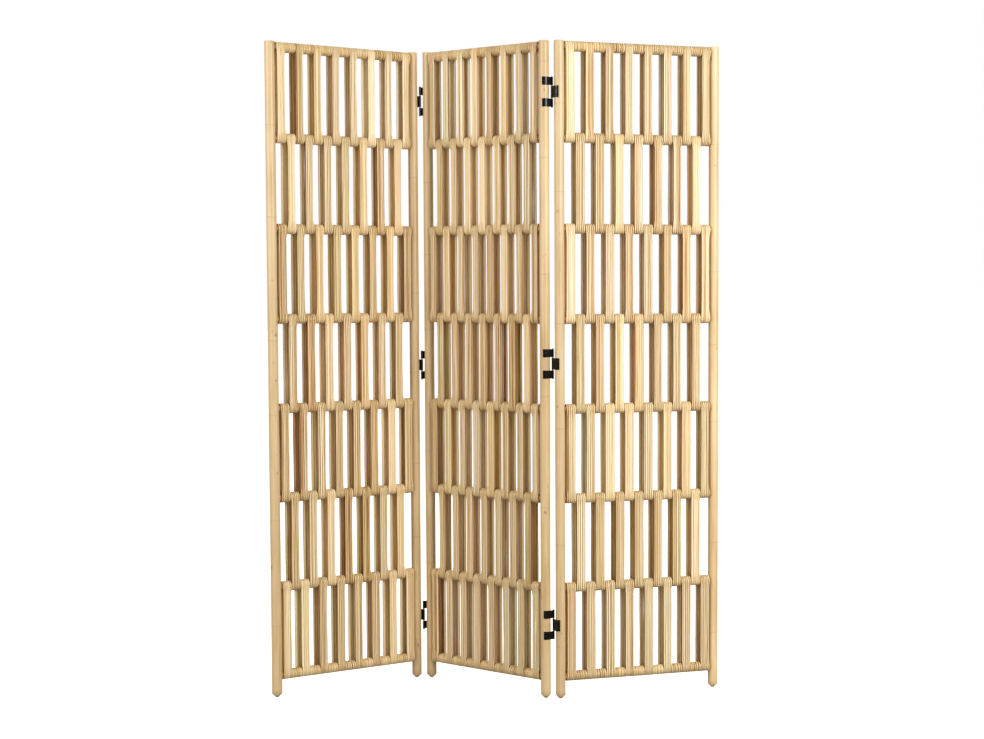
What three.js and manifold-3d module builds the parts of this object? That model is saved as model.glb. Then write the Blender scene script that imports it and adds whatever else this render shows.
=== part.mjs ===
// Folding room divider screen: three rattan panels joined by strap hinges.
// Millimetres, +Z up. The panels stand in a zigzag on the feet of their poles.
import * as THREE from 'three';
import { mergeVertices } from 'three/addons/utils/BufferGeometryUtils.js';
import Module from 'manifold-3d';

const wasm = await Module();
wasm.setup();

// Whole screen
const HEIGHT = 1700;
const LEFT_ANGLE = 38.5; // each panel's turn from the screen's own long direction, in degrees
const MIDDLE_ANGLE = -40;
const RIGHT_ANGLE = 20.5;
const CLEARANCE = 0.3; // between neighbouring pieces

// Poles
const POLE_RADIUS = 13;
const POLE_SPACING = 428; // centre to centre in one panel
const FOOT_RADIUS = 4;
const FOOT_TAPER = 10.5;

// Rails
const RAIL_COUNT = 8;
const RAIL_RADIUS = 10;
const TOP_RAIL_HEIGHT = HEIGHT - 14;
const BOTTOM_RAIL_HEIGHT = 58;
const TENON_RADIUS = 6;
const TENON_DEPTH = 7; // into the pole, from its surface

// Woven peel
const MODULES = 15; // places for a slat along one rail
const WRAP_FLAT = 13.6; // from the rail's axis to the flat faces of the wrap
const SLAT_OUTER = 13.2;
const SLAT_INNER = 10.6;
const SLAT_FILL = 0.92; // of a module's width

// Hinges
const HINGE_HEIGHTS = {
  left: { lower: 173, centre: 858.5, upper: 1569.5 },
  right: { lower: 193, centre: 873, upper: 1569.5 },
};
const OUTER_STRAP = 21; // height of the top and bottom straps
const INNER_STRAP = 30;
const STRAP_GAP = 2;
const STRAP_THICKNESS = 1.2;
const STRAP_START = 68; // degrees round the pole from the line that joins the panel's poles
const BARREL_RADIUS = 3;
const BORE_RADIUS = 1.75;
const PIN_RADIUS = 1.5;
const PIN_HEAD_RADIUS = 2.7;
const PIN_HEAD_HEIGHT = 1.4;
const PIN_ALONG = 14.1; // from the pole's axis to the pin's, along the panel
const PIN_ACROSS = 15; // and across it

// Worked out
const RAIL_PITCH = (TOP_RAIL_HEIGHT - BOTTOM_RAIL_HEIGHT) / (RAIL_COUNT - 1);
const HALF_SPAN = POLE_SPACING / 2;
const INNER_WIDTH = POLE_SPACING - 2 * POLE_RADIUS;
const MODULE_WIDTH = (INNER_WIDTH - 2 * CLEARANCE) / MODULES;
const HINGE_HEIGHT = 2 * OUTER_STRAP + INNER_STRAP + 2 * STRAP_GAP;

const radians = THREE.MathUtils.degToRad;

// Colours
const POLE_LOOK = { color: 0xdcbc86, roughness: 0.55, metalness: 0 };
const RAIL_LOOK = { color: 0xcfa96d, roughness: 0.6, metalness: 0 };
const PEEL_LOOK = { color: 0xd6b37a, roughness: 0.5, metalness: 0 };
const HINGE_LOOK = { color: 0x17171a, roughness: 0.3, metalness: 0.6 };
const PIN_LOOK = { color: 0x2b2b2e, roughness: 0.35, metalness: 0.7 };

// Solid helpers ----------------------------------------------------------------------------

function toSolid(geometry) {
  const bare = geometry.clone();
  bare.deleteAttribute('normal');
  bare.deleteAttribute('uv');
  const merged = mergeVertices(bare, 1e-4);
  return new wasm.Manifold(new wasm.Mesh({
    numProp: 3,
    vertProperties: new Float32Array(merged.attributes.position.array),
    triVerts: new Uint32Array(merged.index.array),
  }));
}

function toGeometry(solid) {
  const mesh = solid.getMesh();
  const geometry = new THREE.BufferGeometry();
  geometry.setAttribute('position', new THREE.BufferAttribute(mesh.vertProperties, 3));
  geometry.setIndex(new THREE.BufferAttribute(mesh.triVerts, 1));
  geometry.computeVertexNormals();
  return geometry;
}

function makeMesh(name, geometry, look) {
  const mesh = new THREE.Mesh(geometry, new THREE.MeshStandardMaterial(look));
  mesh.name = name;
  return mesh;
}

// A round bar along X, from x = start to x = end at the given height
function barAlongX(radius, start, end, height, sides) {
  const bar = new THREE.CylinderGeometry(radius, radius, end - start, sides);
  bar.rotateY(Math.PI / sides);
  bar.rotateZ(Math.PI / 2);
  bar.translate((start + end) / 2, 0, height);
  return bar;
}

function railHeight(index) {
  return TOP_RAIL_HEIGHT - index * RAIL_PITCH;
}

// Poles ------------------------------------------------------------------------------------

function polePlain(radius, foot) {
  const profile = [
    new THREE.Vector2(0, 0),
    new THREE.Vector2(foot, 0),
    new THREE.Vector2(radius, FOOT_TAPER),
    new THREE.Vector2(radius, HEIGHT),
    new THREE.Vector2(0, HEIGHT),
  ];
  const pole = new THREE.LatheGeometry(profile, 16);
  pole.rotateX(Math.PI / 2);
  return pole;
}

// side is -1 for the panel's left pole and 1 for its right pole
function makePole(name, side) {
  const centre = side * HALF_SPAN;
  const plain = polePlain(POLE_RADIUS, FOOT_RADIUS);
  plain.translate(centre, 0, 0);
  let pole = toSolid(plain);
  const holeEnd = centre - side * (POLE_RADIUS - TENON_DEPTH - CLEARANCE);
  const outside = centre - side * (POLE_RADIUS + 5);
  for (let index = 0; index < RAIL_COUNT; index++) {
    const start = Math.min(holeEnd, outside);
    const end = Math.max(holeEnd, outside);
    const hole = barAlongX(TENON_RADIUS + CLEARANCE, start, end, railHeight(index), 8);
    pole = pole.subtract(toSolid(hole));
  }
  return makeMesh(name, toGeometry(pole), POLE_LOOK);
}

// Rails ------------------------------------------------------------------------------------

function makeRail(name, index) {
  const height = railHeight(index);
  let rail = toSolid(barAlongX(RAIL_RADIUS, -HALF_SPAN, HALF_SPAN, height, 8));
  for (const side of [-1, 1]) {
    const cope = new THREE.CylinderGeometry(POLE_RADIUS + CLEARANCE, POLE_RADIUS + CLEARANCE, 60, 16);
    cope.rotateX(Math.PI / 2);
    cope.translate(side * HALF_SPAN, 0, height);
    rail = rail.subtract(toSolid(cope));
  }
  const reach = HALF_SPAN - POLE_RADIUS + TENON_DEPTH;
  const tenons = toSolid(barAlongX(TENON_RADIUS, -reach, reach, height, 8));
  return makeMesh(name, toGeometry(rail.add(tenons)), RAIL_LOOK);
}

// Woven peel -------------------------------------------------------------------------------

// The wraps that cover one rail from pole to pole
function wrapGeometry(index) {
  const corner = 1 / Math.cos(Math.PI / 8);
  const ring = new THREE.Shape();
  const hole = new THREE.Path();
  for (let step = 0; step < 8; step++) {
    const angle = (step + 0.5) * Math.PI / 4;
    const outer = WRAP_FLAT * corner;
    const inner = (RAIL_RADIUS + CLEARANCE) * corner;
    const place = step === 0 ? 'moveTo' : 'lineTo';
    ring[place](outer * Math.cos(angle), outer * Math.sin(angle));
    hole[place](inner * Math.cos(angle), inner * Math.sin(angle));
  }
  ring.closePath();
  hole.closePath();
  ring.holes.push(hole);
  const length = MODULE_WIDTH * MODULES;
  const wrap = new THREE.ExtrudeGeometry(ring, { depth: length, bevelEnabled: false });
  wrap.translate(0, 0, -length / 2);
  wrap.rotateY(Math.PI / 2);
  wrap.translate(0, 0, railHeight(index));
  return wrap;
}

// The front and back slats of one row: odd modules in even rows, the others in odd rows
function slatGeometries(row) {
  const slats = [];
  const middle = (railHeight(row) + railHeight(row + 1)) / 2;
  for (let module = row % 2; module < MODULES; module += 2) {
    const x = (module + 0.5 - MODULES / 2) * MODULE_WIDTH;
    for (const face of [-1, 1]) {
      const thickness = SLAT_OUTER - SLAT_INNER;
      const slat = new THREE.BoxGeometry(MODULE_WIDTH * SLAT_FILL, thickness, RAIL_PITCH);
      slat.translate(x, face * (SLAT_OUTER + SLAT_INNER) / 2, middle);
      slats.push(slat);
    }
  }
  return slats;
}

function makeWeave(name) {
  const pieces = [];
  for (let index = 0; index < RAIL_COUNT; index++) {
    pieces.push(wrapGeometry(index));
  }
  for (let row = 0; row < RAIL_COUNT - 1; row++) {
    pieces.push(...slatGeometries(row));
  }
  let weave = toSolid(pieces[0]);
  for (const piece of pieces.slice(1)) {
    weave = weave.add(toSolid(piece));
  }
  return makeMesh(name, toGeometry(weave), PEEL_LOOK);
}

// Hinges -----------------------------------------------------------------------------------

// Points along an arc about a centre, from one angle to another in degrees
function arcPoints(centre, radius, from, to, steps) {
  const points = [];
  for (let step = 0; step <= steps; step++) {
    const angle = radians(from + (to - from) * step / steps);
    points.push([centre[0] + radius * Math.cos(angle), centre[1] + radius * Math.sin(angle)]);
  }
  return points;
}

// One strap seen from above: it hugs the gap side of the pole and runs straight to the barrel.
// end is the panel's end (-1 left, 1 right); face is the side the pin is on (-1 front, 1 back).
function makeStrap(name, end, face, bottom, height) {
  const middleRadius = POLE_RADIUS + CLEARANCE + STRAP_THICKNESS / 2;
  const half = STRAP_THICKNESS / 2;
  const barrel = [PIN_ALONG, -PIN_ACROSS];
  const barrelTurn = THREE.MathUtils.radToDeg(Math.atan2(barrel[1], barrel[0]));
  const reach = Math.hypot(barrel[0], barrel[1]);
  const leave = barrelTurn + THREE.MathUtils.radToDeg(Math.acos(middleRadius / reach));
  const mouth = THREE.MathUtils.radToDeg(Math.asin(half / BARREL_RADIUS));
  const back = leave + 90; // from the barrel's centre back along the strap
  const outline = [
    ...arcPoints([0, 0], middleRadius + half, STRAP_START, leave, 5),
    ...arcPoints(barrel, BARREL_RADIUS, back - mouth, back - 360 + mouth, 10),
    ...arcPoints([0, 0], middleRadius - half, leave, STRAP_START, 5),
  ];
  const place = ([along, across]) => new THREE.Vector2(end * (HALF_SPAN + along), -face * across);
  const shape = new THREE.Shape(outline.map(place));
  const bore = arcPoints(barrel, BORE_RADIUS, 0, 324, 9);
  shape.holes.push(new THREE.Path(bore.map(place)));
  const strap = new THREE.ExtrudeGeometry(shape, { depth: height, bevelEnabled: false });
  strap.translate(0, 0, bottom);
  return makeMesh(name, strap, HINGE_LOOK);
}

function makePin(name, end, face, bottom) {
  const foot = bottom - CLEARANCE;
  const top = bottom + HINGE_HEIGHT + CLEARANCE;
  const profile = [
    new THREE.Vector2(0, foot - PIN_HEAD_HEIGHT),
    new THREE.Vector2(PIN_HEAD_RADIUS, foot - PIN_HEAD_HEIGHT),
    new THREE.Vector2(PIN_HEAD_RADIUS, foot),
    new THREE.Vector2(PIN_RADIUS, foot),
    new THREE.Vector2(PIN_RADIUS, top),
    new THREE.Vector2(PIN_HEAD_RADIUS, top),
    new THREE.Vector2(PIN_HEAD_RADIUS, top + PIN_HEAD_HEIGHT),
    new THREE.Vector2(0, top + PIN_HEAD_HEIGHT),
  ];
  const pin = new THREE.LatheGeometry(profile, 10);
  pin.rotateX(Math.PI / 2);
  pin.translate(end * (HALF_SPAN + PIN_ALONG), face * PIN_ACROSS, 0);
  return makeMesh(name, pin, PIN_LOOK);
}

// The root panel carries the top and bottom straps and the pin of each hinge at its two ends
function makeRootHinges(joint, end, face) {
  const pieces = [];
  for (const [place, height] of Object.entries(HINGE_HEIGHTS[joint])) {
    const bottom = height - HINGE_HEIGHT / 2;
    const raised = bottom + HINGE_HEIGHT - OUTER_STRAP;
    pieces.push(makeStrap(`${joint}_hinge_${place}_top_strap`, end, face, raised, OUTER_STRAP));
    pieces.push(makeStrap(`${joint}_hinge_${place}_bottom_strap`, end, face, bottom, OUTER_STRAP));
    pieces.push(makePin(`${joint}_hinge_${place}_pin`, end, face, bottom));
  }
  return pieces;
}

function makeOuterHinges(joint, end, face) {
  const pieces = [];
  for (const [place, height] of Object.entries(HINGE_HEIGHTS[joint])) {
    const bottom = height - INNER_STRAP / 2;
    pieces.push(makeStrap(`${joint}_hinge_${place}_middle_strap`, end, face, bottom, INNER_STRAP));
  }
  return pieces;
}

// Panels -----------------------------------------------------------------------------------

function makePanel(name) {
  const panel = new THREE.Group();
  panel.add(makePole(`${name}_panel_left_pole`, -1));
  panel.add(makePole(`${name}_panel_right_pole`, 1));
  for (let index = 0; index < RAIL_COUNT; index++) {
    panel.add(makeRail(`${name}_panel_rail_${index + 1}`, index));
  }
  panel.add(makeWeave(`${name}_panel_woven_peel`));
  return panel;
}

// Turns a panel about a pin, given the pin's place in the panel and in the screen
function standAt(panel, angle, pinInPanel, pinInScreen) {
  const turned = pinInPanel.clone().applyAxisAngle(new THREE.Vector3(0, 0, 1), radians(angle));
  panel.rotation.z = radians(angle);
  panel.position.copy(pinInScreen.clone().sub(turned));
}

const middle = makePanel('middle');
middle.add(...makeRootHinges('left', -1, -1));
middle.add(...makeRootHinges('right', 1, 1));
middle.rotation.z = radians(MIDDLE_ANGLE);
middle.updateMatrix();

const left = makePanel('left');
left.add(...makeOuterHinges('left', 1, -1));
const leftPin = new THREE.Vector3(-HALF_SPAN - PIN_ALONG, -PIN_ACROSS, 0);
const leftPinInLeft = new THREE.Vector3(HALF_SPAN + PIN_ALONG, -PIN_ACROSS, 0);
standAt(left, LEFT_ANGLE, leftPinInLeft, leftPin.applyMatrix4(middle.matrix));

const right = makePanel('right');
right.add(...makeOuterHinges('right', -1, 1));
const rightPin = new THREE.Vector3(HALF_SPAN + PIN_ALONG, PIN_ACROSS, 0);
const rightPinInRight = new THREE.Vector3(-HALF_SPAN - PIN_ALONG, PIN_ACROSS, 0);
standAt(right, RIGHT_ANGLE, rightPinInRight, rightPin.applyMatrix4(middle.matrix));

const screen = new THREE.Group();
screen.add(left, middle, right);
screen.updateMatrixWorld(true);

// The origin is on the floor, under the middle of the screen's bounding box
const box = new THREE.Box3().setFromObject(screen, true);
screen.position.set(-(box.min.x + box.max.x) / 2, -(box.min.y + box.max.y) / 2, 0);

export default screen;
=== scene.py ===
"""Folding room divider screen: three rattan panels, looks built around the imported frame. Metres."""

import math
import random

import bpy
import numpy as np
from mathutils import Matrix, Vector


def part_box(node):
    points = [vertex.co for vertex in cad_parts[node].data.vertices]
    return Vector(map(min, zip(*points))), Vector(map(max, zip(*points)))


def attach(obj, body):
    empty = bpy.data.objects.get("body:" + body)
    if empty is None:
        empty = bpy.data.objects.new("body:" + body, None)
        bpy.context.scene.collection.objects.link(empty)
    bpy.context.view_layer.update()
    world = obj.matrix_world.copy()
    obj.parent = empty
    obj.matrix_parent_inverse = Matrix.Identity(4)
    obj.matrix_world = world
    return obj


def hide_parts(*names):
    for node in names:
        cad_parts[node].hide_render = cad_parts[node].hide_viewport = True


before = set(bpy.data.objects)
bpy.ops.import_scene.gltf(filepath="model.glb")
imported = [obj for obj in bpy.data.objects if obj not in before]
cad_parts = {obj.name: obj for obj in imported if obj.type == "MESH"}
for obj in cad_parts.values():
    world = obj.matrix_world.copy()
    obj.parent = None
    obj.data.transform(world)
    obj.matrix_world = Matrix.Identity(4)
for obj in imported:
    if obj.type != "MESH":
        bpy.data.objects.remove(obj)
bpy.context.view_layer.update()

PANELS = ("left", "middle", "right")
JOINTS = (("left", -1, -1), ("right", 1, 1))  # with the middle panel's end there and the pins' side
HINGE_PLACES = ("lower", "centre", "upper")
RAILS = 8
ROWS = RAILS - 1
MODULES = 15  # places for a loop along one rail

# Poles
POLE_RADIUS = 0.0132
POLE_TONES = {  # share of the pole colour, left pole then right pole
    "left": (0.95, 1.0),
    "middle": (0.94, 0.97),
    "right": (0.92, 1.12),
}
POLE_GIRTHS = {  # share of POLE_RADIUS at the foot and at the top, left pole then right pole
    "left": ((1.05, 0.97), (0.99, 0.97)),
    "middle": ((0.995, 0.995), (0.985, 0.995)),
    "right": ((0.985, 0.98), (1.0, 0.99)),
}
FOOT_RADIUS = 0.0038
FOOT_TAPER = 0.0092
TOP_ROUNDING = 0.0009

# Peel
RAIL_CORE = 0.0102
STRAND_THICKNESS = 0.0032
WRAP_RADIUS = RAIL_CORE + STRAND_THICKNESS / 2
END_GAP = 0.0003
FILLER_WIDTH = 0.0315  # of the short wraps on the top and bottom rails
FRONT_WIDTHS = (0.0197, 0.0221)  # least and most, of a front slat midway between its rails
BACK_WIDTHS = (0.0348, 0.0378)
WIDER_BELOW = 0.15  # how much wider the lowest row's slats are than the top row's
FRONT_CROWN = (0.0020, 0.0036)  # least and most that a slat's edges fall back behind its middle
BACK_CROWN = (0.0016, 0.0028)
CLOSING = (1.02, 1.2)  # width of a front and a back slat's strands beside their places, so no light shows
LEAVING = (0.12, 0.055)  # share of its length in which a front and a back slat reach their width

# Hinges
STRAP_THICKNESS = 0.0012
STRAP_RADIUS = 0.0133 + STRAP_THICKNESS / 2
STRAP_START = math.radians(68)
BARREL_RADIUS = 0.0024
PIN_RADIUS = 0.0015
STRAP_BEVEL = 0.0004
STRAP_STEPS = 15  # points round the pole, and round the pin
BARREL_STEPS = 26
BARREL_TURN = math.radians(292)
SCREW_RADIUS = 0.0026
SCREW_TURN = math.radians(40)
SCREW_DOME = 0.00045
CROSS_DEPTH = 0.0005
CROSS_HALF_WIDTH = 0.00033
CROSS_REACH = 0.72  # share of the head's radius
OUTER_SCREWS = (0.0,)  # heights from the strap's middle
MIDDLE_SCREWS = (-0.0075, 0.0075)
PIN_HEAD_RADIUS = 0.0027
PIN_HEAD = 0.0014


# Places read from the frame -----------------------------------------------------------------


def middle_of(node):
    low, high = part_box(node)
    return (low + high) / 2


def height_range(node):
    low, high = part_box(node)
    return low.z, high.z


class Panel:
    """A panel's own axes: X along it from its left pole, Y to its back, Z up, origin on the floor midway."""

    def __init__(self, name):
        self.name = name
        self.body = f"{name}_panel"
        first = middle_of(f"{name}_panel_left_pole")
        last = middle_of(f"{name}_panel_right_pole")
        along = Vector((last.x - first.x, last.y - first.y, 0))
        self.spacing = along.length
        along.normalize()
        back = Vector((-along.y, along.x, 0))
        centre = (first + last) / 2
        self.matrix = Matrix.Identity(4)
        for row in range(3):
            self.matrix[row][0] = along[row]
            self.matrix[row][1] = back[row]
        self.matrix[0][3] = centre.x
        self.matrix[1][3] = centre.y
        self.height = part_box(f"{name}_panel_left_pole")[1].z
        self.rails = [middle_of(f"{name}_panel_rail_{i + 1}").z for i in range(RAILS)]
        inner = self.spacing - 2 * (POLE_RADIUS + END_GAP)
        self.module = inner / MODULES

    def module_centre(self, index):
        return (index + 0.5 - MODULES / 2) * self.module


panels = {name: Panel(name) for name in PANELS}


# Mesh helpers -------------------------------------------------------------------------------


class Builder:
    """Collects swept strands and turned shapes, with their per-point attributes, into one mesh."""

    def __init__(self):
        self.points = []
        self.faces = []
        self.attributes = {}
        self.count = 0

    def add(self, points, faces, **attributes):
        self.points.append(np.asarray(points, float).reshape(-1, 3))
        self.faces.extend([tuple(int(i) + self.count for i in face) for face in faces])
        size = len(self.points[-1])
        for name, values in attributes.items():
            self.attributes.setdefault(name, []).append(np.asarray(values, float).reshape(size, -1))
        self.count += size

    def make(self, name, matrix, material):
        mesh = bpy.data.meshes.new(name)
        mesh.from_pydata(np.concatenate(self.points).tolist(), [], self.faces)
        for key, parts in self.attributes.items():
            values = np.concatenate(parts)
            kind = "FLOAT" if values.shape[1] == 1 else "FLOAT_VECTOR"
            attribute = mesh.attributes.new(key, kind, "POINT")
            field = "value" if kind == "FLOAT" else "vector"
            attribute.data.foreach_set(field, values.astype(np.float32).ravel())
        mesh.shade_smooth()
        mesh.materials.append(material)
        piece = bpy.data.objects.new(name, mesh)
        bpy.context.scene.collection.objects.link(piece)
        piece.matrix_world = matrix
        return piece


def ring_faces(rings, sides, closed):
    """Quads between neighbouring rings of points; closed joins the last ring to the first."""
    faces = []
    for ring in range(rings if closed else rings - 1):
        here = ring * sides
        there = ((ring + 1) % rings) * sides
        for side in range(sides):
            after = (side + 1) % sides
            faces.append((here + side, here + after, there + after, there + side))
    return faces


def lathe(profile, sides):
    """A closed turned shape about Z. The profile's first and last radii are on the axis."""
    angles = np.linspace(0, 2 * math.pi, sides, endpoint=False)
    points = [(0, 0, profile[0][1])]
    for radius, height in profile[1:-1]:
        points.extend((radius * math.cos(a), radius * math.sin(a), height) for a in angles)
    points.append((0, 0, profile[-1][1]))
    rings = len(profile) - 2
    faces = [tuple(i + 1 for i in face) for face in ring_faces(rings, sides, False)]
    last = 1 + (rings - 1) * sides
    for side in range(sides):
        after = (side + 1) % sides
        faces.append((0, 1 + after, 1 + side))
        faces.append((last + side, last + after, len(points) - 1))
    return np.array(points), faces


# Peel strands -------------------------------------------------------------------------------

STRAND_SIDES = 10
STRAIGHT_PARTS = (0.0, 0.015, 0.035, 0.06, 0.1, 0.3, 0.5, 0.7, 0.9, 0.94, 0.965, 0.985)
TURN_STEPS = 8
GRAIN_AROUND = 1.6  # how far the grain pattern runs in one trip round a loop
GRAIN_ACROSS = 1400.0  # pattern units in a metre across a strand
GROOVED_LOOPS = 0.65  # share of the loops, and of the fillers, whose strands lie apart
GROOVED_FILLERS = 0.4
MOST_STRANDS = 6
STRAND_SHARES = (0.82, 1.18)
LOOP_TONE = 0.5
FILLER_TONE = 0.48
LOOP_TONES = 0.058  # spread of tone and hue from loop to loop, and from strand to strand
LOOP_HUES = 0.08
STRAND_TONES = 0.17
STRAND_HUES = 0.14
LOOP_WRAPPED = 0.7  # how far the peel is darkened where it lies on the rails, where 1 is a filler's
EVEN_TONES = 0.45  # how far tones and hues, and the painted shade in the grooves, are evened out there
EVEN_GROOVES = 0.35
ROOM = 0.985  # a loop's share of its place along the rail
BETWEEN_LOOPS = 0.98
FILLER_PLAY = 0.01
LEAN = 0.0006  # spreads of the small accidents of weaving, in metres and radians
WOBBLE = 0.00028
LIFT = 0.0004
ROCK = 0.09
LOOP_THINNING = (0.94, 1.0)
FILLER_THINNING = 0.97
FILLER_SWAY = 0.0003
FILLER_TURN = 0.2


def eased(part):
    """From 0 to 1 with a soft start and end, and 1 from there on."""
    part = min(1.0, part)
    return part * part * (3 - 2 * part)


def section(width, thickness, squareness):
    angles = np.linspace(0, 2 * math.pi, STRAND_SIDES, endpoint=False) + math.pi / STRAND_SIDES
    cos, sin = np.cos(angles), np.sin(angles)
    across = np.sign(cos) * np.abs(cos) ** squareness * width / 2
    out = np.sign(sin) * np.abs(sin) ** squareness * thickness / 2
    return across, out


def sweep_strand(builder, path, outward, twist, scale, wrapped, width, thickness, look, rng):
    """One closed strand along path, points in a panel's axes. outward points away from the rails,
    scale is the strand's width at each point as a share of width, and wrapped is 0 along a slat."""
    count = len(path)
    seed = rng.uniform(0, 500)
    across, out = section(width, thickness, look["squareness"])
    tone = min(1, max(0, look["tone"] + rng.gauss(0, STRAND_TONES)))
    hue = min(1, max(0, look["hue"] + rng.gauss(0, STRAND_HUES)))
    scale = np.asarray(scale)
    side = np.array([1.0, 0.0, 0.0])
    turn = np.asarray(twist)[:, None]
    sideways = side[None, :] * np.cos(turn) + outward * np.sin(turn)
    outwards = outward * np.cos(turn) - side[None, :] * np.sin(turn)
    points = (
        path[:, None, :]
        + sideways[:, None, :] * (across[None, :] * scale[:, None])[:, :, None]
        + outwards[:, None, :] * out[None, :, None]
    )
    trip = np.linspace(0, 2 * math.pi, count, endpoint=False)
    grain = np.zeros((count, STRAND_SIDES, 3))
    grain[:, :, 0] = (GRAIN_AROUND * np.cos(trip))[:, None] + seed
    grain[:, :, 1] = (GRAIN_AROUND * np.sin(trip))[:, None] + seed * 0.37
    grain[:, :, 2] = (across * GRAIN_ACROSS)[None, :] + seed * 1.71
    wraps = np.tile(np.asarray(wrapped, float)[:, None], (1, STRAND_SIDES))
    tones = 0.5 + (tone - 0.5) * (1 - EVEN_TONES * wraps)
    hues = 0.5 + (hue - 0.5) * (1 - EVEN_TONES * wraps)
    # painted shade: the strand's edges are darkened for the shade in the grooves between strands, more where
    # they lie apart
    painted_groove_shade = np.tile(look["groove"] * (np.abs(across) / np.abs(across).max()) ** 4, (count, 1))
    painted_groove_shade = painted_groove_shade * (1 - EVEN_GROOVES * wraps)
    faces = ring_faces(count, STRAND_SIDES, True)
    builder.add(points, faces, grain=grain, tone=tones, hue=hues, rim=painted_groove_shade, wrap=wraps)


def strand_set(rng, tone, grooved_share):
    """The strands of one loop: their shares of its width, how tightly they lie, and their look."""
    grooved = rng.random() < grooved_share
    most = MOST_STRANDS
    count = rng.choice((most - 1, most - 1, most)) if grooved else rng.choice((most - 2, most - 1))
    widths = [rng.uniform(*STRAND_SHARES) for _ in range(count)]
    total = sum(widths)
    look = {
        "squareness": 0.85 if grooved else 0.6,
        # strength of the painted shade along the strands' edges, in the grooves between them
        "groove": 1.0 if grooved else 0.45,
        "tone": rng.gauss(tone, LOOP_TONES),
        "hue": rng.gauss(0.5, LOOP_HUES),
    }
    return [w / total for w in widths], 0.92 if grooved else 1.0, look


def rail_scales(panel, index, ends):
    """How far a loop spreads at its two rails, as shares of its room, for its left and right halves.
    On the top and bottom rails the fillers beside it take some of the room."""
    beside_filler = (2 * panel.module - FILLER_WIDTH) / panel.module - FILLER_PLAY
    scales = []
    for is_end in ends:
        left = beside_filler if is_end and index > 0 else BETWEEN_LOOPS
        right = beside_filler if is_end and index < MODULES - 1 else BETWEEN_LOOPS
        scales.append((left, right))
    return scales


def add_loop(builder, panel, index, row, rng):
    """One loop of strands round two neighbouring rails: a front slat, a back slat and two wraps."""
    top, bottom = panel.rails[row], panel.rails[row + 1]
    ends = (row == 0, row == ROWS - 1)
    shares, fill, look = strand_set(rng, LOOP_TONE, GROOVED_LOOPS)
    room = panel.module * ROOM
    centre = panel.module_centre(index)
    at_rails = rail_scales(panel, index, ends)
    lean = [rng.gauss(0, LEAN), rng.gauss(0, LEAN)]
    fuller = 1 + WIDER_BELOW * (row / (ROWS - 1) - 0.5)
    slats = (
        (fuller * rng.uniform(*FRONT_WIDTHS) / room, rng.uniform(*FRONT_CROWN)),
        (fuller * rng.uniform(*BACK_WIDTHS) / room, rng.uniform(*BACK_CROWN)),
    )
    start = -room / 2
    for share in shares:
        width = share * room
        offset = start + width / 2
        start += width
        edge = 2 * offset / room
        which_half = 0 if offset < 0 else 1
        wobble = [rng.gauss(0, WOBBLE) for _ in range(4)]
        lift = [max(-LIFT, rng.gauss(0, LIFT)) for _ in range(2)]
        rock = [rng.gauss(0, ROCK) for _ in range(2)]
        path, outward, twist, scale, wrapped = [], [], [], [], []
        for face, z_from, z_to, first, last in ((-1, top, bottom, 0, 1), (1, bottom, top, 1, 0)):
            which = (face + 1) // 2
            spread, crown = slats[which]
            tilt = math.atan(4 * crown * edge / (spread * room))
            leaves, meets = at_rails[first][which_half], at_rails[last][which_half]
            for part in STRAIGHT_PARTS:
                free = eased(min(part, 1 - part) / LEAVING[which])
                sway = math.sin(math.pi * part) ** 0.5
                gathered = leaves + (meets - leaves) * part
                gathered += (spread - gathered) * free
                x = centre + offset * gathered + lean[which] * free
                x += sway * (wobble[which] * math.sin(2 * math.pi * part) + wobble[2 + which])
                sink = crown * edge * edge + lift[which]
                y = face * (WRAP_RADIUS - free * sink)
                path.append((x, y, z_from + (z_to - z_from) * part))
                outward.append((0, face, 0))
                twist.append(-free * (tilt + rock[which]))
                scale.append(max(gathered * CLOSING[which], gathered ** 0.6))
                wrapped.append(LOOP_WRAPPED * (1 - free))
            for step in range(TURN_STEPS):
                angle = math.pi * step / TURN_STEPS
                y = face * math.cos(angle)
                z = face * math.sin(angle)
                path.append((centre + offset * meets, WRAP_RADIUS * y, z_to + WRAP_RADIUS * z))
                outward.append((0, y, z))
                twist.append(0)
                scale.append(meets)
                wrapped.append(LOOP_WRAPPED)
        thickness = STRAND_THICKNESS * rng.uniform(*LOOP_THINNING)
        sweep_strand(
            builder, np.array(path), np.array(outward, float), twist, scale, wrapped,
            width * fill, thickness, look, rng,
        )


def add_filler(builder, panel, index, height, rng):
    """Short wraps round the top or bottom rail, in a place that no loop takes."""
    shares, fill, look = strand_set(rng, FILLER_TONE, GROOVED_FILLERS)
    start = panel.module_centre(index) - FILLER_WIDTH / 2
    for share in shares:
        width = share * FILLER_WIDTH
        x = start + width / 2
        start += width
        steps = 2 * TURN_STEPS + 4
        angles = np.linspace(0, 2 * math.pi, steps, endpoint=False)
        angles = angles + rng.uniform(0, FILLER_TURN)
        outward = np.stack([np.zeros(steps), np.cos(angles), np.sin(angles)], 1)
        path = outward * WRAP_RADIUS + np.array([x, 0, height])
        path[:, 0] += FILLER_SWAY * np.sin(angles + rng.uniform(0, 6))
        sweep_strand(
            builder, path, outward, np.zeros(steps), np.ones(steps), np.ones(steps),
            width * fill, STRAND_THICKNESS * FILLER_THINNING, look, rng,
        )


# Poles --------------------------------------------------------------------------------------

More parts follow.
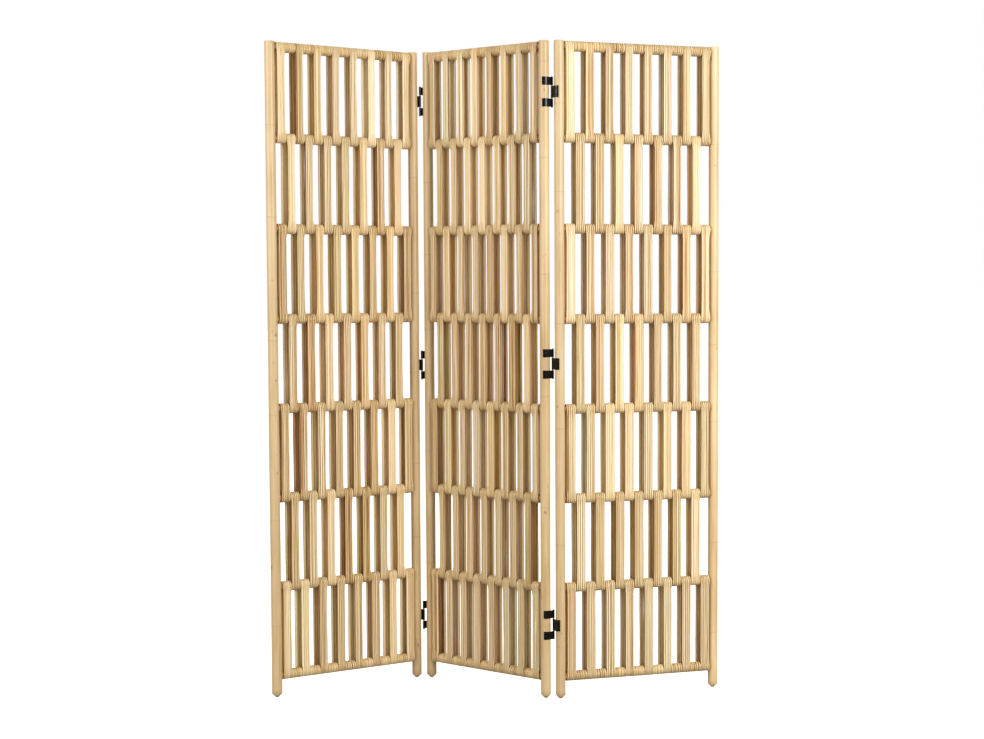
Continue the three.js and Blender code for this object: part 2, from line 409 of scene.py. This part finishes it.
POLE_SIDES = 32
POLE_STEP = 0.0125
FIRST_JOINT = (0.06, 0.2)
JOINT_GAPS = (0.19, 0.34)
NO_JOINT_BELOW_TOP = 0.05
JOINT_STEPS = (-0.004, -0.002, -0.001, 0, 0.001, 0.0025, 0.005)  # extra rings beside a joint
LEAST_STEP = 0.0004
SWELL = 0.00022  # of a joint, with a fine groove just under it
SWELL_REACH = 0.0035
GROOVE_DEPTH = 0.00016
GROOVE_BELOW = 0.0012
GROOVE_REACH = 0.0011
UNEVENNESS = (0.00010, 0.00007, 0.00009)  # two-sided, three-sided and along the pole
MEAN_LOSS = 0.0001
POLE_GRAIN = (260.0, 260.0, 7.0)  # pattern units in a metre across and along the pole


def make_pole(panel, side, material, rng):
    """A rattan pole with its joints, a tapered foot and a flat top, slightly uneven along its length."""
    body_low, body_high = FOOT_TAPER, panel.height - TOP_ROUNDING
    heights = list(np.arange(body_low, body_high, POLE_STEP))
    heights[-1] = body_high
    joints = []
    reach = rng.uniform(*FIRST_JOINT)
    while reach < panel.height - NO_JOINT_BELOW_TOP:
        joints.append(reach)
        reach += rng.uniform(*JOINT_GAPS)
    for joint in joints:
        heights.extend(joint + step for step in JOINT_STEPS)
    heights = sorted(h for h in heights if body_low <= h <= body_high)
    heights = [h for i, h in enumerate(heights) if i == 0 or h - heights[i - 1] > LEAST_STEP]
    phases = [rng.uniform(0, 2 * math.pi) for _ in range(6)]
    angles = np.linspace(0, 2 * math.pi, POLE_SIDES, endpoint=False)
    low_girth, high_girth = POLE_GIRTHS[panel.name][(side + 1) // 2]
    foot, top = POLE_RADIUS * low_girth, POLE_RADIUS * high_girth
    rings = [(FOOT_RADIUS, 0.0, 0.0)]
    rings.append(((FOOT_RADIUS + foot) / 2, FOOT_TAPER / 2, 0.0))
    for height in heights:
        swell, mark = 0.0, 0.0
        for joint in joints:
            gap = (height - joint) / SWELL_REACH
            swell += SWELL * math.exp(-gap * gap)
            near = (height - joint + GROOVE_BELOW) / GROOVE_REACH
            swell -= GROOVE_DEPTH * math.exp(-near * near)
            mark = max(mark, math.exp(-near * near))
        rings.append((foot + (top - foot) * height / panel.height + swell, height, mark))
    rings.append((top - TOP_ROUNDING * 0.35, panel.height - TOP_ROUNDING * 0.3, 0.0))
    rings.append((top - TOP_ROUNDING, panel.height, 0.0))
    points, marks = [(0, 0, 0)], [0.0]
    for radius, height, mark in rings:
        free = 1.0 if FOOT_TAPER < height < body_high else 0.0
        uneven = (
            UNEVENNESS[0] * np.sin(2 * angles + phases[0] + 2.3 * height)
            + UNEVENNESS[1] * np.sin(3 * angles + phases[1] - 3.1 * height)
            + UNEVENNESS[2] * math.sin(9 * height + phases[2])
        )
        radii = radius + free * (uneven - MEAN_LOSS)
        points.extend(np.stack([radii * np.cos(angles), radii * np.sin(angles),
                                np.full(POLE_SIDES, height)], 1))
        marks.extend([mark] * POLE_SIDES)
    points.append((0, 0, panel.height))
    marks.append(0.0)
    faces = [tuple(i + 1 for i in f) for f in ring_faces(len(rings), POLE_SIDES, False)]
    last = 1 + (len(rings) - 1) * POLE_SIDES
    for i in range(POLE_SIDES):
        after = (i + 1) % POLE_SIDES
        faces.append((0, 1 + after, 1 + i))
        faces.append((last + i, last + after, len(points) - 1))
    builder = Builder()
    points = np.array(points, float)
    grain = points * np.array(POLE_GRAIN) + rng.uniform(0, 90)
    tone = POLE_TONES[panel.name][(side + 1) // 2]
    builder.add(points, faces, grain=grain, mark=marks, tone=np.full(len(points), tone))
    offset = Matrix.Translation((side * panel.spacing / 2, 0, 0))
    end = "left" if side < 0 else "right"
    piece = builder.make(f"{panel.name}_panel_{end}_pole_rattan", panel.matrix @ offset, material)
    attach(piece, panel.body)
    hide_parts(f"{panel.name}_panel_{end}_pole")


# Hinges -------------------------------------------------------------------------------------


def strap_path(pin):
    """Points and outward normals of one strap seen from above: round the pole's gap side, straight
    to the pin and rolled about it. X is along the panel from the pole, Y is away from the pin's side."""
    bearing = math.atan2(pin.y, pin.x)
    reach = pin.length
    leave = bearing + math.acos((STRAP_RADIUS - BARREL_RADIUS) / reach)
    points, normals = [], []
    for angle in np.linspace(STRAP_START, leave, STRAP_STEPS):
        normal = (math.cos(angle), math.sin(angle))
        points.append((STRAP_RADIUS * normal[0], STRAP_RADIUS * normal[1]))
        normals.append(normal)
    for angle in np.linspace(leave, leave - BARREL_TURN, BARREL_STEPS):
        normal = (math.cos(angle), math.sin(angle))
        points.append((pin.x + BARREL_RADIUS * normal[0], pin.y + BARREL_RADIUS * normal[1]))
        normals.append(normal)
    return points, normals


def make_strap(node, panel, end, face, material):
    """end is the panel's end (-1 left, 1 right); face is the side that the pin is on (-1 front)."""
    pin_node = node.rsplit("_", 2)[0] + "_pin"
    pin = panel.matrix.inverted() @ middle_of(pin_node)
    pin_plan = Vector((end * pin.x - panel.spacing / 2, -face * pin.y))
    low, high = height_range(node)
    points, normals = strap_path(pin_plan)
    half = STRAP_THICKNESS / 2
    verts = []
    for (x, y), (nx, ny) in zip(points, normals):
        for out, z in ((-half, low), (half, low), (half, high), (-half, high)):
            across = y + ny * out
            verts.append((end * (panel.spacing / 2 + x + nx * out), -face * across, z))
    faces = ring_faces(len(points), 4, False)
    faces.append((3, 2, 1, 0))
    last = (len(points) - 1) * 4
    faces.append((last, last + 1, last + 2, last + 3))
    if end * -face > 0:
        faces = [tuple(reversed(f)) for f in faces]
    builder = Builder()
    builder.add(verts, faces)
    piece = builder.make(f"{node}_metal", panel.matrix, material)
    bevel = piece.modifiers.new("edges", "BEVEL")
    bevel.width = STRAP_BEVEL
    bevel.segments = 2
    bevel.limit_method = "ANGLE"
    bevel.angle_limit = math.radians(50)
    bevel.harden_normals = True
    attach(piece, panel.body)
    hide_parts(node)


def screw_head():
    """A low domed head with a cross recess, facing +Z, its rim at Z = 0."""
    rings, sides = 9, 40
    bottom = -0.0008
    points = [(0, 0, -0.0002)]
    for ring in range(1, rings + 1):
        radius = SCREW_RADIUS * ring / rings
        for side in range(sides):
            angle = 2 * math.pi * side / sides
            x, y = radius * math.cos(angle), radius * math.sin(angle)
            z = SCREW_DOME * (1 - (radius / SCREW_RADIUS) ** 2)
            arm = min(abs(x), abs(y))
            if arm < CROSS_HALF_WIDTH and radius < SCREW_RADIUS * CROSS_REACH:
                z -= CROSS_DEPTH
            points.append((x, y, z))
    for side in range(sides):
        angle = 2 * math.pi * side / sides
        points.append((SCREW_RADIUS * math.cos(angle), SCREW_RADIUS * math.sin(angle), bottom))
    points.append((0, 0, bottom))
    faces = [tuple(i + 1 for i in f) for f in ring_faces(rings + 1, sides, False)]
    last = 1 + rings * sides
    for side in range(sides):
        after = (side + 1) % sides
        faces.append((0, 1 + side, 1 + after))
        faces.append((last + after, last + side, len(points) - 1))
    faces = [tuple(reversed(f)) if len(f) == 4 else f for f in faces]
    return np.array(points), faces


def make_screws(node, panel, end, face, offsets, material, rng):
    """The strap's screws, driven into the pole where the strap hugs it."""
    low, high = height_range(node)
    middle = (low + high) / 2
    head, faces = screw_head()
    turn_x = end * math.cos(SCREW_TURN)
    turn_y = -face * math.sin(SCREW_TURN)
    normal = Vector((turn_x, turn_y, 0))
    surface = STRAP_RADIUS + STRAP_THICKNESS / 2
    builder = Builder()
    for offset in offsets:
        place = Vector((end * panel.spacing / 2, 0, middle + offset)) + normal * surface
        spin = Matrix.Rotation(rng.uniform(0, math.pi), 4, "Z")
        aim = normal.to_track_quat("Z", "Y").to_matrix().to_4x4()
        matrix = np.array(Matrix.Translation(place) @ aim @ spin)
        placed = head @ matrix[:3, :3].T + matrix[:3, 3]
        builder.add(placed, faces)
    piece = builder.make(f"{node}_screws", panel.matrix, material)
    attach(piece, panel.body)


def make_pin(node, material):
    """A rivet with domed heads at both ends."""
    low, high = height_range(node)
    wide, head = PIN_HEAD_RADIUS, PIN_HEAD
    profile = [
        (0, low), (0.0011, low + 0.0001), (0.0021, low + 0.0005), (wide, low + head * 0.9),
        (wide, low + head), (PIN_RADIUS, low + head), (PIN_RADIUS, high - head),
        (wide, high - head), (wide, high - head * 0.9), (0.0021, high - 0.0005),
        (0.0011, high - 0.0001), (0, high),
    ]
    points, faces = lathe(profile, 20)
    builder = Builder()
    builder.add(points, faces)
    centre = middle_of(node)
    place = Matrix.Translation((centre.x, centre.y, 0))
    piece = builder.make(f"{node}_rivet", place, material)
    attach(piece, "middle_panel")
    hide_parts(node)


# Materials ----------------------------------------------------------------------------------


class Shader:
    """Small helper for node materials: adds nodes, sets their inputs and links them."""

    def __init__(self, name):
        self.material = bpy.data.materials.new(name)
        self.material.use_nodes = True
        self.tree = self.material.node_tree
        self.principled = self.tree.nodes["Principled BSDF"]

    def node(self, kind, inputs=None, **settings):
        made = self.tree.nodes.new(kind)
        for key, value in settings.items():
            setattr(made, key, value)
        for key, value in (inputs or {}).items():
            if isinstance(value, bpy.types.NodeSocket):
                self.tree.links.new(value, made.inputs[key])
            else:
                made.inputs[key].default_value = value
        return made

    def math(self, operation, first, second, third=0.5, clamp=False):
        inputs = {0: first, 1: second, 2: third}
        made = self.node("ShaderNodeMath", inputs, operation=operation)
        made.use_clamp = clamp
        return made.outputs[0]

    def attribute(self, name, output):
        return self.node("ShaderNodeAttribute", attribute_name=name).outputs[output]

    def scaled(self, vector, scale):
        made = self.node("ShaderNodeVectorMath", {0: vector, 1: scale}, operation="MULTIPLY")
        return made.outputs[0]

    def noise(self, vector, scale, detail=3.0, roughness=0.55):
        inputs = {"Vector": vector, "Scale": scale, "Detail": detail, "Roughness": roughness}
        return self.node("ShaderNodeTexNoise", inputs).outputs["Fac"]

    def ramp(self, factor, stops):
        made = self.node("ShaderNodeValToRGB", {"Fac": factor})
        elements = made.color_ramp.elements
        while len(elements) < len(stops):
            elements.new(0.5)
        for element, (position, colour) in zip(elements, stops):
            element.position = position
            element.color = (*colour, 1)
        return made.outputs["Color"]

    def mix(self, factor, first, second, blend="MIX"):
        made = self.node("ShaderNodeMix", {0: factor, 6: first, 7: second}, data_type="RGBA")
        made.blend_type = blend
        return made.outputs[2]

    def set(self, **inputs):
        for key, value in inputs.items():
            socket = self.principled.inputs[key.replace("_", " ")]
            if isinstance(value, bpy.types.NodeSocket):
                self.tree.links.new(value, socket)
            else:
                socket.default_value = value


def colour(red, green, blue):
    """An sRGB colour, 0 to 255, as the linear values that shaders take."""
    def linear(part):
        part /= 255
        return part / 12.92 if part <= 0.04045 else ((part + 0.055) / 1.055) ** 2.4
    return tuple(linear(part) for part in (red, green, blue))


WRAPPED_COLOUR = (0.80, 0.75, 0.64, 1)  # what multiplies the peel's colour where it lies on a rail


def peel_material():
    """Split rattan: each strand has its own tone, with fine grain and a few brown streaks along it."""
    s = Shader("split_rattan_peel")
    grain = s.attribute("grain", "Vector")
    tone = s.attribute("tone", "Fac")
    fine = s.noise(grain, 1.0, 4.0, 0.6)
    slow = s.noise(s.scaled(grain, (1.0, 1.0, 0.12)), 1.3, 2.0)
    spread = s.math("MULTIPLY_ADD", fine, 0.55, -0.275)
    patch = s.math("MULTIPLY_ADD", slow, 0.5, -0.25)
    value = s.math("ADD", s.math("ADD", tone, spread), patch, clamp=True)
    base = s.ramp(value, [
        (0.0, colour(168, 110, 65)),
        (0.25, colour(219, 184, 132)),
        (0.55, colour(245, 221, 178)),
        (1.0, colour(255, 245, 216)),
    ])
    hue = s.ramp(s.attribute("hue", "Fac"), [
        (0.1, (0.96, 1.0, 0.82)), (0.5, (1.0, 1.0, 0.98)), (0.9, (1.0, 0.91, 0.88)),
    ])
    base = s.mix(1.0, base, hue, "MULTIPLY")
    base = s.mix(s.attribute("wrap", "Fac"), base, WRAPPED_COLOUR, "MULTIPLY")
    # painted shade: rim darkens the strands' edges towards dark brown, standing in for the shade in the
    # grooves between strands
    rim = s.attribute("rim", "Fac")
    base = s.mix(s.math("MULTIPLY", rim, 0.9), base, (*colour(104, 62, 28), 1))
    streak = s.noise(s.scaled(grain, (2.2, 2.2, 0.8)), 1.0, 5.0, 0.7)
    dark = s.node("ShaderNodeMapRange", {"Value": streak, 1: 0.62, 2: 0.74, 3: 0.0, 4: 0.6})
    base = s.mix(dark.outputs[0], base, (*colour(134, 88, 48), 1))
    rough = s.node("ShaderNodeMapRange", {"Value": fine, 1: 0.3, 2: 0.7, 3: 0.42, 4: 0.62})
    bump = s.node("ShaderNodeBump", {"Height": fine, "Strength": 0.35, "Distance": 0.0005})
    s.set(Base_Color=base, Roughness=rough.outputs[0], Normal=bump.outputs[0])
    s.set(Coat_Weight=0.08, Coat_Roughness=0.25, Specular_IOR_Level=0.28)
    return s.material


def pole_material():
    """Peeled rattan pole: pale, with long grain, darker rings at its joints and small specks."""
    s = Shader("rattan_pole")
    grain = s.attribute("grain", "Vector")
    mark = s.attribute("mark", "Fac")
    fine = s.noise(grain, 1.0, 5.0, 0.6)
    slow = s.noise(s.scaled(grain, (0.06, 0.06, 0.5)), 1.0, 3.0)
    value = s.math("ADD", s.math("MULTIPLY", fine, 0.55), s.math("MULTIPLY", slow, 0.6))
    base = s.ramp(value, [
        (0.3, colour(174, 140, 94)),
        (0.5, colour(202, 172, 125)),
        (0.66, colour(215, 188, 143)),
        (0.85, colour(226, 203, 164)),
    ])
    speck_place = s.scaled(grain, (0.3, 0.3, 6.0))
    speck = s.noise(speck_place, 1.0, 2.0, 0.5)
    specks = s.node("ShaderNodeMapRange", {"Value": speck, 1: 0.71, 2: 0.77, 3: 0.0, 4: 0.7})
    base = s.mix(specks.outputs[0], base, (*colour(128, 84, 48), 1))
    base = s.mix(s.math("MULTIPLY", mark, 0.24), base, (*colour(140, 98, 58), 1))
    tone = s.node("ShaderNodeCombineColor", {i: s.attribute("tone", "Fac") for i in range(3)})
    base = s.mix(1.0, base, tone.outputs[0], "MULTIPLY")
    rough = s.node("ShaderNodeMapRange", {"Value": fine, 1: 0.3, 2: 0.7, 3: 0.38, 4: 0.55})
    bump = s.node("ShaderNodeBump", {"Height": fine, "Strength": 0.25, "Distance": 0.0004})
    s.set(Base_Color=base, Roughness=rough.outputs[0], Normal=bump.outputs[0])
    s.set(Coat_Weight=0.15, Coat_Roughness=0.25)
    return s.material


def rail_material():
    """The cores of the rails, seen only between the wraps: darker raw rattan."""
    s = Shader("rattan_rail")
    place = s.node("ShaderNodeTexCoord").outputs["Object"]
    fine = s.noise(s.scaled(place, (40.0, 40.0, 500.0)), 1.0, 4.0)
    base = s.ramp(fine, [
        (0.3, colour(136, 96, 56)), (0.55, colour(178, 134, 84)), (0.75, colour(205, 164, 110)),
    ])
    bump = s.node("ShaderNodeBump", {"Height": fine, "Strength": 0.3, "Distance": 0.0005})
    rough = s.node("ShaderNodeMapRange", {"Value": fine, 1: 0.3, 2: 0.7, 3: 0.5, 4: 0.7})
    s.set(Base_Color=base, Roughness=rough.outputs[0], Normal=bump.outputs[0])
    return s.material


def metal_material(name, shade, roughness):
    """Black lacquered steel with a faint orange peel and uneven gloss."""
    s = Shader(name)
    place = s.node("ShaderNodeTexCoord").outputs["Object"]
    peel = s.noise(place, 900.0, 2.0)
    wear = s.noise(place, 120.0, 5.0, 0.7)
    base = s.ramp(wear, [(0.35, (shade, shade, shade * 1.08)), (0.75, (shade * 2.2,) * 3)])
    rough = s.node("ShaderNodeMapRange",
                   {"Value": wear, 1: 0.3, 2: 0.7, 3: roughness - 0.06, 4: roughness + 0.1})
    bump = s.node("ShaderNodeBump", {"Height": peel, "Strength": 0.12, "Distance": 0.0002})
    s.set(Base_Color=base, Roughness=rough.outputs[0], Normal=bump.outputs[0])
    s.set(Specular_IOR_Level=0.22)
    return s.material


PEEL = peel_material()
POLE = pole_material()
RAIL = rail_material()
METAL = metal_material("black_hinge_metal", 0.0022, 0.15)
RIVET = metal_material("black_rivet", 0.004, 0.22)


# The screen ---------------------------------------------------------------------------------


PANEL_SEED = 1310
SCREW_SEED = 77


def weave_piece(builder, name, panel):
    piece = builder.make(name, panel.matrix, PEEL)
    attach(piece, panel.body)
    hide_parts(f"{panel.name}_panel_woven_peel")


for order, panel in enumerate(panels.values()):
    rng = random.Random(PANEL_SEED + order)
    for side in (-1, 1):
        make_pole(panel, side, POLE, rng)
    for row in range(ROWS):
        builder = Builder()
        for index in range(row % 2, MODULES, 2):
            add_loop(builder, panel, index, row, rng)
        weave_piece(builder, f"{panel.name}_panel_row_{row + 1}_loops", panel)
    for place, rail in (("top", panel.rails[0]), ("bottom", panel.rails[-1])):
        builder = Builder()
        for index in range(1, MODULES, 2):
            add_filler(builder, panel, index, rail, rng)
        weave_piece(builder, f"{panel.name}_panel_{place}_rail_wraps", panel)
    for rail in range(RAILS):
        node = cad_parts[f"{panel.name}_panel_rail_{rail + 1}"]
        node.data.materials.clear()
        node.data.materials.append(RAIL)

screw_rng = random.Random(SCREW_SEED)
for joint, root_end, face in JOINTS:
    for place in HINGE_PLACES:
        for strap in ("top", "bottom", "middle"):
            node = f"{joint}_hinge_{place}_{strap}_strap"
            panel = panels[joint] if strap == "middle" else panels["middle"]
            end = -root_end if strap == "middle" else root_end
            offsets = MIDDLE_SCREWS if strap == "middle" else OUTER_SCREWS
            make_strap(node, panel, end, face, METAL)
            make_screws(node, panel, end, face, offsets, METAL, screw_rng)
        make_pin(f"{joint}_hinge_{place}_pin", RIVET)


# Stage --------------------------------------------------------------------------------------

LIGHTS = (  # name, azimuth and elevation in degrees, distance, size, power
    ("key", 48, 17, 4.2, 1.8, 166),
    ("fill", -52, 20, 4.2, 2.2, 122),
    ("back", 170, 30, 4.5, 3.0, 60),
)
TARGET = (0, 0, 0.85)
WORLD_TINT = (1.0, 0.92, 0.80, 1)
CAMERA_PLACE = (0.4025, -5.3276, 1.0855)
CAMERA_DOWN = 3.80  # degrees below level
LENS = 73.56
SHIFT = (-0.1601, 0.0461)  # of the lens, for the framing


def make_floor():
    s = Shader("pale_floor")
    place = s.node("ShaderNodeTexCoord").outputs["Object"]
    soft = s.noise(place, 1.5, 2.0)
    base = s.ramp(soft, [(0.3, (0.90, 0.90, 0.90)), (0.7, (0.93, 0.93, 0.93))])
    s.set(Base_Color=base, Roughness=0.9, Specular_IOR_Level=0.1)
    s.set(Emission_Color=(1, 1, 1, 1), Emission_Strength=0.8)
    half = 40.0
    mesh = bpy.data.meshes.new("floor")
    corners = [(-half, -half, 0), (half, -half, 0), (half, half, 0), (-half, half, 0)]
    mesh.from_pydata(corners, [], [(0, 1, 2, 3)])
    mesh.materials.append(s.material)
    floor = bpy.data.objects.new("floor", mesh)
    bpy.context.scene.collection.objects.link(floor)
    floor.location.z = -0.0005
    floor.visible_diffuse = False
    floor.visible_glossy = False


def make_area(name, azimuth, elevation, distance, size, power):
    """A soft square light aimed at TARGET. Azimuth 0 is behind the camera, positive to the right."""
    light = bpy.data.lights.new(name, "AREA")
    light.shape = "SQUARE"
    light.size = size
    light.energy = power
    lamp = bpy.data.objects.new(name, light)
    turn, rise = math.radians(azimuth), math.radians(elevation)
    offset = Vector((math.sin(turn) * math.cos(rise), -math.cos(turn) * math.cos(rise),
                     math.sin(rise)))
    lamp.location = Vector(TARGET) + offset * distance
    lamp.rotation_euler = (-offset).to_track_quat("-Z", "Y").to_euler()
    bpy.context.scene.collection.objects.link(lamp)


def make_world(seen, given):
    """White where the camera sees it, and a softer level as light on the screen."""
    world = bpy.data.worlds.new("studio")
    bpy.context.scene.world = world
    world.use_nodes = True
    tree = world.node_tree
    tree.nodes.clear()
    output = tree.nodes.new("ShaderNodeOutputWorld")
    mix = tree.nodes.new("ShaderNodeMixShader")
    path = tree.nodes.new("ShaderNodeLightPath")
    lit = tree.nodes.new("ShaderNodeBackground")
    lit.inputs["Color"].default_value = WORLD_TINT
    lit.inputs["Strength"].default_value = given
    white = tree.nodes.new("ShaderNodeBackground")
    white.inputs["Color"].default_value = (1, 1, 1, 1)
    white.inputs["Strength"].default_value = seen
    tree.links.new(path.outputs["Is Camera Ray"], mix.inputs[0])
    tree.links.new(lit.outputs[0], mix.inputs[1])
    tree.links.new(white.outputs[0], mix.inputs[2])
    tree.links.new(mix.outputs[0], output.inputs["Surface"])


def make_camera():
    data = bpy.data.cameras.new("camera")
    data.sensor_width = 36.0
    data.lens = LENS
    data.shift_x, data.shift_y = SHIFT
    camera = bpy.data.objects.new("camera", data)
    camera.location = CAMERA_PLACE
    camera.rotation_euler = (math.radians(90 - CAMERA_DOWN), 0, 0)
    bpy.context.scene.collection.objects.link(camera)
    bpy.context.scene.camera = camera


make_floor()
for light in LIGHTS:
    make_area(*light)
make_world(seen=1.0, given=0.35)
make_camera()
bpy.context.scene.view_settings.view_transform = "Standard"
